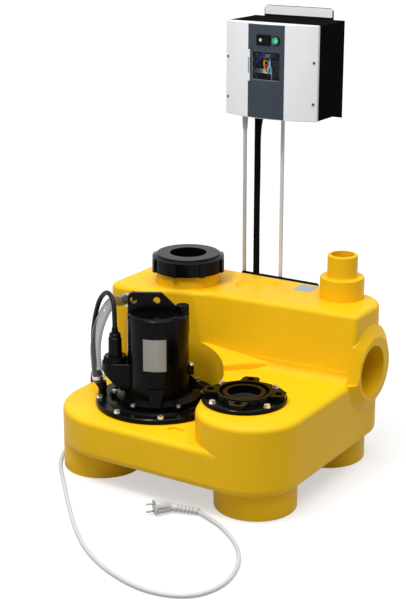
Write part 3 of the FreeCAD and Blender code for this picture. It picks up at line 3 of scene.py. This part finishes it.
import bmesh
import bpy
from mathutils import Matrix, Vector


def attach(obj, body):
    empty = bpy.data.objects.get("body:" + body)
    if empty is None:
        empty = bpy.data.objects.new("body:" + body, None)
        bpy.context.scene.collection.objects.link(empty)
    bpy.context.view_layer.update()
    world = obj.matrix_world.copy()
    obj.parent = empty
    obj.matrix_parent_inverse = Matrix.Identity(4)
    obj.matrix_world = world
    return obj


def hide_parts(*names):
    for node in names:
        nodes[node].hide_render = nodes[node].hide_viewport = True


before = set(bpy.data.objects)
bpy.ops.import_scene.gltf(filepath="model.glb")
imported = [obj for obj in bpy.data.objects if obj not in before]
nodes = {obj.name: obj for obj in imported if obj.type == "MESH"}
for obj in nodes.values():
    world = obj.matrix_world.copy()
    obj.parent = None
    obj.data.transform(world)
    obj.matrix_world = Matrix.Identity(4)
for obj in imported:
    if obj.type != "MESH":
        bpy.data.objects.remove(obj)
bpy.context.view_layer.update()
scene = bpy.context.scene

# Places are written in millimetres from the middle of the tank's footprint. Seen from there, the
# frame's own origin stands at this x and y.
frame_x = 9.0
frame_y = 11.15

# The camera of the photograph, in metres and degrees.
camera_place = (1.70765, -2.75839, 1.43439)
camera_tilt = 72.6
camera_turn = 32.5
camera_lens = 84

# Cords: radii in millimetres, lengths in metres.
lead_radius = 5.0
hose_radius = 13.0
cable_radius = 6.0
level_radius = 5.0

lead_route = [
    (-50.5, 222, 834), (-50.5, 222, 764), (-97, 302, 420), (-101, 309, 330), (-104, 310, 240),
    (-106, 312, 150), (-114, 316, 74), (-144, 324, 20), (-204, 330, 5.2), (-268, 332, 5.2),
    (-328, 316, 5.2), (-360, 264, 5.2), (-370, 184, 5.2), (-374, 92, 5.2), (-372, 0, 5.2),
    (-368, -84, 5.2), (-346, -164, 5.2), (-304, -240, 5.2), (-232, -316, 5.2), (-150, -404, 5.2),
    (-60, -497, 5.2), (31, -574, 5.2), (130, -626, 5.2), (240, -652, 5.2), (330, -625, 5.2),
    (366, -548, 5.2), (347, -452, 5.2), (296, -376, 5.2), (226, -322, 5.2), (176, -300, 6.5),
    (138, -289, 10.0)]
hose_route = [
    (-243, -151, 208), (-247, -155, 250), (-248, -155, 304), (-244, -144, 352), (-240, -117, 388),
    (-243, -84, 400), (-248, -47, 386), (-248, -12, 386)]
cable_route = [
    (-193.9, -146.5, 356), (-193.9, -146.5, 384), (-202, -138, 420), (-234, -118, 435),
    (-268, -105, 408), (-287, -100, 360), (-297, -99, 308), (-302, -92, 256), (-312, -74, 212),
    (-330, -56, 186), (-347, -40, 156), (-353, -26, 112), (-351, -8, 66),
    (-352, 22, 26), (-352, 74, 6.2), (-350, 140, 6.2), (-342, 206, 6.2), (-316, 266, 6.2),
    (-264, 303, 6.2), (-196, 308, 6.2), (-140, 304, 6.2), (-102, 306, 26), (-82, 311, 74),
    (-73, 317, 150), (-70, 322, 260), (-69, 322, 410), (-70, 321, 560), (-69, 322, 680),
    (-70, 322, 762), (-67, 326, 806), (-59, 335, 845), (-50, 347, 875), (-42, 357, 903),
    (-38, 358, 925.8), (-37, 351.7, 941.5), (-37, 339.7, 953.5), (-37, 324, 960), (-37, 307, 960)]
level_route = [(24.4, 280, 834), (24.4, 280, 764), (9.5, 307, 414), (9.5, 307, 352)]

# The middle of the plug's face, and the way that it faces in plan, in degrees.
plug_face = (50, -340, 18.7)
plug_turn = 231.7
# Sections of the plug: how far behind its face, half width and half height, in millimetres.
plug_sections = [
    (1.6, 12.6, 12.6), (1.2, 13.4, 13.4), (0.2, 14.4, 14.4), (0.0, 16.6, 16.6), (0.3, 17.8, 17.8),
    (1.0, 18.5, 18.5), (3.6, 18.5, 18.5), (4.2, 17.8, 17.8), (4.6, 16.0, 16.0), (12.0, 15.4, 16.0),
    (20.0, 14.0, 15.2), (27.0, 12.4, 13.8), (34.0, 10.6, 12.2)]

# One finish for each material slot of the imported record, then two darker steels for small pieces.
finishes = {
    "tank_plastic": dict(
        colour=(0.98, 0.575, 0.006), rough=0.46, grain=0.0001, grain_size=0.0022, cloud=0.03,
        cloud_size=0.12, rough_spread=0.1, Specular_IOR_Level=0.2),
    "black_plastic": dict(
        colour=(0.003, 0.003, 0.0035), rough=0.24, grain=0.00002, grain_size=0.0009,
        Specular_IOR_Level=0.09),
    "black_cast": dict(
        colour=(0.002, 0.002, 0.002), rough=0.2, grain=0.00004, grain_size=0.0016, cloud=0.3,
        cloud_size=0.03, rough_spread=0.1, Specular_IOR_Level=0.08),
    "black_paint": dict(
        colour=(0.008, 0.008, 0.008), rough=0.5, grain=0.00002, grain_size=0.0007,
        Specular_IOR_Level=0.0),
    "rubber": dict(
        colour=(0.006, 0.006, 0.006), rough=0.42, grain=0.00003, grain_size=0.0006,
        Specular_IOR_Level=0.2),
    "steel": dict(
        colour=(0.8, 0.8, 0.8), rough=0.34, metal=1.0, grain=0.00001, grain_size=0.0006,
        cloud=0.15, cloud_size=0.008),
    "bright_steel": dict(
        colour=(0.62, 0.62, 0.63), rough=0.3, metal=1.0, grain=0.000008, grain_size=0.0005,
        cloud=0.08, cloud_size=0.01),
    "plate_alu": dict(
        colour=(0.27, 0.265, 0.25), rough=0.46, metal=0.5, grain=0.00001, grain_size=0.0004,
        stretch=(1, 1, 0.05), cloud=0.14, cloud_size=0.02),
    "core_steel": dict(
        colour=(0.3, 0.3, 0.32), rough=0.4, metal=1.0, grain=0.00002, stretch=(1, 1, 8)),
    "copper": dict(
        colour=(0.6, 0.24, 0.09), rough=0.35, metal=1.0, grain=0.0002, grain_size=0.0012),
    "cast_grey": dict(
        colour=(0.06, 0.06, 0.065), rough=0.55, grain=0.00012, grain_size=0.0018),
    "white_cord": dict(
        colour=(0.66, 0.67, 0.7), rough=0.42, grain=0.00001, grain_size=0.0015, cloud=0.03),
    "pale_hose": dict(
        colour=(0.82, 0.83, 0.86), rough=0.3, grain=0.00001, grain_size=0.002, cloud=0.03),
    "white_plastic": dict(
        colour=(0.62, 0.62, 0.62), rough=0.4, grain=0.00002, grain_size=0.0008, cloud=0.03),
    "silver_cover": dict(
        colour=(0.81, 0.82, 0.845), rough=0.4, grain=0.000012, grain_size=0.0005, cloud=0.015,
        cloud_size=0.08),
    "slate_panel": dict(
        colour=(0.042, 0.053, 0.07), rough=0.5, grain=0.00001, grain_size=0.0005, cloud=0.05,
        Specular_IOR_Level=0.15),
    "circuit": dict(
        colour=(0.004, 0.006, 0.005), rough=0.5, grain=0.0001, grain_size=0.004,
        Specular_IOR_Level=0.1),
    "terminal_grey": dict(
        colour=(0.99, 0.99, 0.98), rough=0.45, grain=0.00004, grain_size=0.0012),
    "relay_plastic": dict(
        colour=(0.008, 0.009, 0.012), rough=0.4, grain=0.00003, Specular_IOR_Level=0.1),
    "capacitor_shell": dict(
        colour=(0.55, 0.55, 0.55), rough=0.35, metal=1.0),
    "green_plastic": dict(
        colour=(0.0, 0.38, 0.16), rough=0.22, grain=0.00001, cloud=0.05),
    "screw_black": dict(
        colour=(0.1, 0.1, 0.1), rough=0.3, metal=1.0, grain=0.00002),
    "pin_steel": dict(
        colour=(0.32, 0.32, 0.33), rough=0.3, metal=1.0, grain=0.00001),
}
clear_finishes = {
    "clear_hose": dict(colour=(0.12, 0.12, 0.125), veil=0.45, edge_veil=0.95, rough=0.12),
    "clear_window": dict(colour=(0.3, 0.32, 0.34), veil=0.015, edge_veil=0.06, rough=0.05),
}
# Nodes whose finish isn't the one of their slot.
own_finish = {
    "cover_screws": "screw_black", "plug_pins": "pin_steel", "flap_hinge": "silver_cover",
    "motor_claws": "black_paint"}

wire_blue = (0.01, 0.06, 0.6)
wire_pale = (0.12, 0.55, 0.95)
# Hook-up wires behind the window: radius, colour and points.
wires = {
    "wire_thick_blue": (5.2, wire_blue, [
        (-22, 182, 955), (-10, 178, 961), (4, 174, 971), (18, 172, 985), (30, 172, 1001),
        (38, 176, 1014), (42, 182, 1024)]),
    "wire_pale_right": (1.9, wire_pale, [
        (44, 182, 992), (46, 172, 986), (50, 166, 976), (54, 163, 964), (56, 163, 954),
        (56, 166, 943), (52, 172, 934)]),
    "wire_pale_left": (1.5, wire_pale, [
        (-5, 184, 982), (-4, 178, 972), (-2, 176, 958), (0, 178, 946), (4, 182, 936)]),
    "wire_blue_high": (1.8, wire_blue, [
        (48, 184, 1006), (53, 176, 1001), (60, 172, 995), (65, 172, 987), (64, 174, 976),
        (60, 180, 966)]),
    "wire_blue_low": (2.0, wire_blue, [
        (70, 182, 966), (65, 176, 960), (59, 172, 954), (54, 172, 946), (54, 178, 936)]),
    "wire_yellow": (1.9, (0.95, 0.6, 0.03), [
        (26, 186, 984), (28, 178, 979), (29, 174, 972), (30, 176, 962), (31, 182, 953)]),
    "wire_orange": (1.8, (0.9, 0.28, 0.01), [
        (22, 186, 979), (26, 176, 980), (32, 174, 979), (38, 178, 977)]),
    "wire_red": (2.2, (0.7, 0.015, 0.01), [
        (30, 182, 963), (34, 174, 966), (39, 173, 969), (44, 178, 970)]),
    "wire_white": (2.4, (0.9, 0.9, 0.88), [
        (40, 184, 984), (42, 178, 976), (42, 176, 966), (38, 178, 956), (36, 184, 948)]),
}


def at(x, y, z):
    """A place of the tank in the frame, in metres."""
    return Vector(((x - frame_x) / 1000, (y - frame_y) / 1000, z / 1000))


def camera():
    data = bpy.data.cameras.new("camera")
    data.sensor_width = 36
    data.lens = camera_lens
    data.clip_end = 60
    obj = bpy.data.objects.new("camera", data)
    obj.location = camera_place
    obj.rotation_euler = (math.radians(camera_tilt), 0, math.radians(camera_turn))
    scene.collection.objects.link(obj)
    scene.camera = obj


def node(tree, kind, **values):
    made = tree.nodes.new(kind)
    for name, value in values.items():
        setattr(made, name, value)
    return made


def noise(tree, vector, size, detail):
    made = node(tree, "ShaderNodeTexNoise")
    made.inputs["Scale"].default_value = 1 / size
    made.inputs["Detail"].default_value = detail
    tree.links.new(vector, made.inputs["Vector"])
    return made.outputs["Fac"]


def spread(tree, value, low=0.0, high=1.0):
    """Stretches a noise, most of which lies from 0.3 to 0.7, from low to high."""
    made = node(tree, "ShaderNodeMapRange")
    made.inputs["From Min"].default_value = 0.3
    made.inputs["From Max"].default_value = 0.7
    made.inputs["To Min"].default_value = low
    made.inputs["To Max"].default_value = high
    tree.links.new(value, made.inputs["Value"])
    return made.outputs["Result"]


def look(name, colour, rough, metal=0.0, grain=0.00003, grain_size=0.0008, cloud=0.08, cloud_size=0.06,
         rough_spread=0.08, stretch=(1, 1, 1), **sockets):
    """A finish in metres: fine grain as bump, slow clouds in the colour, and uneven gloss."""
    made = bpy.data.materials.new(name)
    made.use_nodes = True
    tree = made.node_tree
    link = tree.links.new
    shader = tree.nodes["Principled BSDF"]
    place = node(tree, "ShaderNodeTexCoord")
    turned = node(tree, "ShaderNodeMapping")
    turned.inputs["Scale"].default_value = stretch
    link(place.outputs["Object"], turned.inputs["Vector"])
    fine = noise(tree, turned.outputs["Vector"], grain_size, 3)
    slow = noise(tree, turned.outputs["Vector"], cloud_size, 4)
    bump = node(tree, "ShaderNodeBump")
    bump.inputs["Strength"].default_value = 1.0
    bump.inputs["Distance"].default_value = grain
    link(fine, bump.inputs["Height"])
    link(bump.outputs["Normal"], shader.inputs["Normal"])
    mix = node(tree, "ShaderNodeMix", data_type="RGBA")
    mix.inputs["A"].default_value = (*[c * (1 - cloud) for c in colour], 1)
    mix.inputs["B"].default_value = (*[min(1, c * (1 + cloud)) for c in colour], 1)
    link(spread(tree, slow), mix.inputs["Factor"])
    link(mix.outputs["Result"], shader.inputs["Base Color"])
    link(spread(tree, fine, rough - rough_spread / 2, rough + rough_spread / 2), shader.inputs["Roughness"])
    shader.inputs["Metallic"].default_value = metal
    for socket, value in sockets.items():
        shader.inputs[socket.replace("_", " ")].default_value = value
    return made


def clear_look(name, colour, veil, edge_veil, rough):
    """Clear plastic: see-through with an even tint that grows towards its edges."""
    made = look(name, colour, rough, grain=0.00002, grain_size=0.012, cloud=0.05, rough_spread=0.04, IOR=1.5)
    tree = made.node_tree
    shader = tree.nodes["Principled BSDF"]
    edge = node(tree, "ShaderNodeLayerWeight")
    edge.inputs["Blend"].default_value = 0.25
    density = node(tree, "ShaderNodeMapRange")
    density.inputs["To Min"].default_value = veil
    density.inputs["To Max"].default_value = edge_veil
    tree.links.new(edge.outputs["Facing"], density.inputs["Value"])
    tree.links.new(density.outputs["Result"], shader.inputs["Alpha"])
    return made


def looks():
    made = {name: look(name, **values) for name, values in finishes.items()}
    for name, values in clear_finishes.items():
        made[name] = clear_look(name, **values)
    return made


def dress_nodes(made):
    """Gives every node the finish of its slot, and a few small pieces their own shade."""
    for name, obj in nodes.items():
        for index, slot in enumerate(obj.material_slots):
            slot.material = made[own_finish.get(name, obj.data.materials[index].name.split(".")[0])]


def show(obj, finish, body="station"):
    """Links a new piece, gives it its finish and lets it ride on its body."""
    scene.collection.objects.link(obj)
    obj.data.materials.append(finish)
    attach(obj, body)
    return obj


def line(name, places, radius):
    """A round line whose control points are the places."""
    curve = bpy.data.curves.new(name, "CURVE")
    curve.dimensions = "3D"
    curve.bevel_depth = radius / 1000
    curve.bevel_resolution = 5
    curve.resolution_u = 10
    curve.use_fill_caps = True
    spline = curve.splines.new("NURBS")
    spline.points.add(len(places) - 1)
    for point, place in zip(spline.points, places):
        point.co = (*at(*place), 1)
    spline.order_u = 3
    spline.use_endpoint_u = True
    return bpy.data.objects.new(name, curve)


def cords(made):
    lead = show(line("lead_line", lead_route, lead_radius), made["white_cord"])
    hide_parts("mains_lead")
    cable = show(line("pump_cable_line", cable_route, cable_radius), made["rubber"])
    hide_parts("pump_cable")
    hose = show(line("vent_hose_line", hose_route, hose_radius), made["clear_hose"])
    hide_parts("vent_hose")
    level = show(line("level_hose_line", level_route, level_radius), made["pale_hose"])
    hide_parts("level_hose")
    return lead, cable, hose, level


def mesh_piece(name, made):
    """Turns a finished bmesh into a piece that is smooth but for its sharper edges."""
    bmesh.ops.recalc_face_normals(made, faces=made.faces)
    mesh = bpy.data.meshes.new(name)
    made.to_mesh(mesh)
    made.free()
    for face in mesh.polygons:
        face.use_smooth = True
    mesh.set_sharp_from_angle(angle=math.radians(38))
    return bpy.data.objects.new(name, mesh)


def skin(made, rings):
    """Joins rings of points into one closed skin."""
    loops = [[made.verts.new(p) for p in ring] for ring in rings]
    for one, other in zip(loops, loops[1:]):
        for i in range(len(one)):
            j = (i + 1) % len(one)
            made.faces.new((one[i], one[j], other[j], other[i]))
    made.faces.new(loops[0][::-1])
    made.faces.new(loops[-1])


def plug_piece():
    """Moulded mains plug: a rimmed and dished face, a grip with side grooves, a ribbed sleeve."""
    grip_length = 0.041
    waist_drop = 0.005
    drop, drop_start, drop_run = 5, 15, 26
    groove, groove_start, groove_end = 2.6, 4.4, 27.5
    sleeve_wide, sleeve_narrow, sleeve_rings = 9.6, 7.2, 36
    rib_dip, rib_pitch, rib_start = 2.4, 5, 7
    made = bmesh.new()
    turn = math.radians(plug_turn)
    ahead = Vector((math.cos(turn), math.sin(turn), 0))
    face = at(*plug_face)
    sleeve_end = at(*lead_route[-1])
    sleeve_way = (at(*lead_route[-1]) - at(*lead_route[-2])).normalized()
    waist = face - ahead * grip_length + Vector((0, 0, -waist_drop))
    rings = []
    for back, wide, high in plug_sections:
        lower = Vector((0, 0, -drop * max(0, back - drop_start) / (1000 * drop_run)))
        centre = face - ahead * back / 1000 + lower
        cut = groove if groove_start < back < groove_end else 0.0
        rings.append(plug_ring(centre, -ahead, wide, high, cut))
    to_end = (sleeve_end - waist).normalized()
    rings.append(plug_ring(waist, (to_end - ahead).normalized(), 9.8, 10.8, 0.0))
    for k in range(2, sleeve_rings + 1):
        share = k / sleeve_rings
        centre = waist.lerp(sleeve_end, share)
        away = to_end.lerp(-sleeve_way, max(0.0, share - 0.5)).normalized()
        size = sleeve_wide + (sleeve_narrow - sleeve_wide) * share
        if rib_start < k < sleeve_rings - 1 and k % rib_pitch in (0, 1):
            size -= rib_dip
        rings.append(plug_ring(centre, away, size, size, 0.0))
    skin(made, rings)
    return mesh_piece("plug_shell", made)


def plug_ring(centre, along, wide, high, groove):
    """Points of one section, with an earth groove on each side."""
    count = 72
    groove_reach = math.radians(11)
    side = along.cross(Vector((0, 0, 1))).normalized()
    up = side.cross(along).normalized()
    points = []
    for i in range(count):
        angle = 2 * math.pi * i / count
        beside = min(abs(angle), abs(angle - math.pi), abs(angle - 2 * math.pi))
        cut = groove if beside < groove_reach else 0.0
        out = side * math.cos(angle) * (wide - cut) / 1000
        points.append(centre + out + up * math.sin(angle) * (high - cut) / 1000)
    return points


def lathe(name, profile, place, axis=(0, 0, 1), count=40):
    """A turned piece: profile pairs are radius and distance along the axis, in millimetres."""
    made = bmesh.new()
    turn = Vector((0, 0, 1)).rotation_difference(Vector(axis))
    rings = []
    for radius, along in profile:
        ring = []
        for i in range(count):
            angle = 2 * math.pi * i / count
            local = Vector((radius * math.cos(angle), radius * math.sin(angle), along)) / 1000
            ring.append(place + turn @ local)
        rings.append(ring)
    skin(made, rings)
    return mesh_piece(name, made)


def ribbed(length, wide, narrow, ribs):
    """Profile of a tapered sleeve with ring ribs."""
    dip, lip = 1.1, 0.3
    foot, rise, fall = 0.35, 0.42, 0.9
    pitch = length / ribs
    profile = []
    for k in range(ribs):
        low = length * k / ribs
        size = wide + (narrow - wide) * k / (ribs - 1)
        profile += [(size - dip, low), (size - dip, low + pitch * foot), (size, low + pitch * rise),
                    (size, low + pitch * fall), (size - lip, low + pitch)]
    return profile


def plate(name, corners, thick, corner=2.0):
    """Flat plate over its corners, thickened along its normal, with rounded corners."""
    made = bmesh.new()
    base = [Vector(c) for c in corners]
    way = (base[1] - base[0]).cross(base[-1] - base[0]).normalized()
    low = [made.verts.new(c) for c in base]
    high = [made.verts.new(c + way * thick / 1000) for c in base]
    made.faces.new(low[::-1])
    made.faces.new(high)
    for i in range(len(base)):
        j = (i + 1) % len(base)
        made.faces.new((low[i], low[j], high[j], high[i]))
    upright = [e for e in made.edges
               if abs((e.verts[0].co - e.verts[1].co).normalized().dot(way)) > 0.9]
    bmesh.ops.bevel(made, geom=upright, offset=corner / 1000, segments=5, affect="EDGES", profile=0.5)
    return mesh_piece(name, made)


def window_wires():
    """Short hook-up wires behind the window, from terminal to terminal."""
    for name, (radius, colour, places) in wires.items():
        finish = look(name, colour, 0.35, grain=0.00001, cloud=0.04)
        show(line(name, places, radius), finish)


def motor_bar(name, turn):
    """Short raised bar across the motor's front, below its plate."""
    axis, level = (-103, -94), 249
    out = Vector((math.cos(math.radians(turn)), math.sin(math.radians(turn)), 0))
    side = Vector((-out.y, out.x, 0))
    middle = at(*axis, level) + out * 0.0742
    reach = side * 0.0085
    rise = Vector((0, 0, 0.0013))
    corners = [middle - reach - rise, middle + reach - rise, middle + reach + rise, middle - reach + rise]
    return plate(name, corners, 2.2, 0.6)


def trim(made):
    """Small pieces that the photograph shows on top of the solids."""
    relief = lathe("lead_relief", ribbed(34, 8.0, 6.4, 6), at(-50.5, 222, 834.5), (0, 0, -1))
    show(relief, made["white_cord"])
    corners = [at(94, 218.5, 405), at(141, 218.5, 405), at(141, 271.5, 405), at(94, 271.5, 405)]
    tag = look("tank_tag_face", (0.36, 0.42, 0.5), 0.4, grain=0.00001, cloud=0.12, cloud_size=0.01)
    show(plate("tank_tag", corners, 0.5), tag)
    corners = [at(-37.5, 292, 1076), at(148.5, 292, 1076), at(148.5, 292, 1097), at(-37.5, 292, 1097)]
    band = look("plate_band_face", (0.95, 0.95, 0.95), 0.45, grain=0.00001, cloud=0.02)
    show(plate("plate_band", corners, 0.5), band)
    # Painted highlight: a pale grey plate on the rocker's tilted face stands in for its glint. The same grey
    # also makes the pale triangle on the button.
    highlight_and_triangle_face = look("rocker_highlight_and_button_triangle", (0.6, 0.6, 0.58), 0.5, grain=0.00001, cloud=0.02)
    corners = [at(39.5, 131.3, 1029.5), at(45.5, 132.25, 1029.5), at(45.5, 132.25, 1036.5),
               at(39.5, 131.3, 1036.5)]
    show(plate("rocker_mark", corners, 0.3), highlight_and_triangle_face, "rocker")
    # A pale grey triangle on the right side of the button's face.
    corners = [at(83.5, 129.3, 1029.5), at(89.5, 129.3, 1033), at(83.5, 129.3, 1036.5)]
    show(plate("button_pale_triangle", corners, 0.2, 0.5), highlight_and_triangle_face, "button")
    for name, turn in (("motor_bar_left", -71.5), ("motor_bar_right", -54.0)):
        show(motor_bar(name, turn), made["black_cast"])


def seen_rays(tree):
    """One for what the camera, a shiny face or clear plastic sees, and zero for the rest."""
    rays = node(tree, "ShaderNodeLightPath")
    pair = node(tree, "ShaderNodeMath", operation="MAXIMUM")
    seen = node(tree, "ShaderNodeMath", operation="MAXIMUM")
    tree.links.new(rays.outputs["Is Camera Ray"], pair.inputs[0])
    tree.links.new(rays.outputs["Is Glossy Ray"], pair.inputs[1])
    tree.links.new(pair.outputs[0], seen.inputs[0])
    tree.links.new(rays.outputs["Is Transmission Ray"], seen.inputs[1])
    return seen.outputs[0]


def floor():
    """A dull grey floor that looks white, and still shows the object's shadow."""
    half_side = 30
    dull = (0.36, 0.36, 0.36, 1)
    pale = (0.55, 0.555, 0.56, 1)
    glow_level = 0.52
    made = bmesh.new()
    bmesh.ops.create_grid(made, x_segments=2, y_segments=2, size=half_side)
    mesh = bpy.data.meshes.new("floor")
    made.to_mesh(mesh)
    made.free()
    obj = bpy.data.objects.new("floor", mesh)
    scene.collection.objects.link(obj)
    mat = bpy.data.materials.new("floor")
    mat.use_nodes = True
    tree = mat.node_tree
    shader = tree.nodes["Principled BSDF"]
    shader.inputs["Roughness"].default_value = 1.0
    shader.inputs["Specular IOR Level"].default_value = 0.0
    seen = seen_rays(tree)
    mix = node(tree, "ShaderNodeMix", data_type="RGBA")
    mix.inputs["A"].default_value = dull
    mix.inputs["B"].default_value = pale
    tree.links.new(seen, mix.inputs["Factor"])
    tree.links.new(mix.outputs["Result"], shader.inputs["Base Color"])
    glow = node(tree, "ShaderNodeMath", operation="MULTIPLY")
    glow.inputs[1].default_value = glow_level
    tree.links.new(seen, glow.inputs[0])
    tree.links.new(glow.outputs[0], shader.inputs["Emission Strength"])
    shader.inputs["Emission Color"].default_value = (1, 1, 1, 1)
    obj.data.materials.append(mat)


def lamp(name, data, place, way):
    """Hangs a lamp that shines against the given way."""
    obj = bpy.data.objects.new(name, data)
    obj.location = place
    obj.rotation_euler = Vector(way).to_track_quat("Z", "Y").to_euler()
    scene.collection.objects.link(obj)


def light():
    """An even white room, a wide soft sun and a small soft box high in front of the unit."""
    room_level = 0.31
    world = bpy.data.worlds.new("studio")
    scene.world = world
    world.use_nodes = True
    tree = world.node_tree
    back = tree.nodes["Background"]
    level = node(tree, "ShaderNodeMapRange")
    level.inputs["To Min"].default_value = room_level
    level.inputs["To Max"].default_value = 1.0
    tree.links.new(seen_rays(tree), level.inputs["Value"])
    tree.links.new(level.outputs["Result"], back.inputs["Strength"])
    back.inputs["Color"].default_value = (1, 1, 1, 1)
    sky = bpy.data.lights.new("sky_panel", "SUN")
    sky.energy = 2.2
    sky.angle = math.radians(60)
    lamp("sky_panel", sky, (0, 0, 3), (0.08, -0.14, 1))
    box = bpy.data.lights.new("soft_box", "AREA")
    box.energy = 7.5
    box.shape = "SQUARE"
    box.size = 0.22
    lamp("soft_box", box, (-0.05, -0.8, 1.6), (-0.05, -0.8, 1.0))


def main():
    scene.view_settings.view_transform = "Standard"
    camera()
    made = looks()
    dress_nodes(made)
    lines = cords(made)
    shell = plug_piece()
    show(shell, made["white_plastic"])
    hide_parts("plug_body")
    window_wires()
    trim(made)
    floor()
    light()


main()
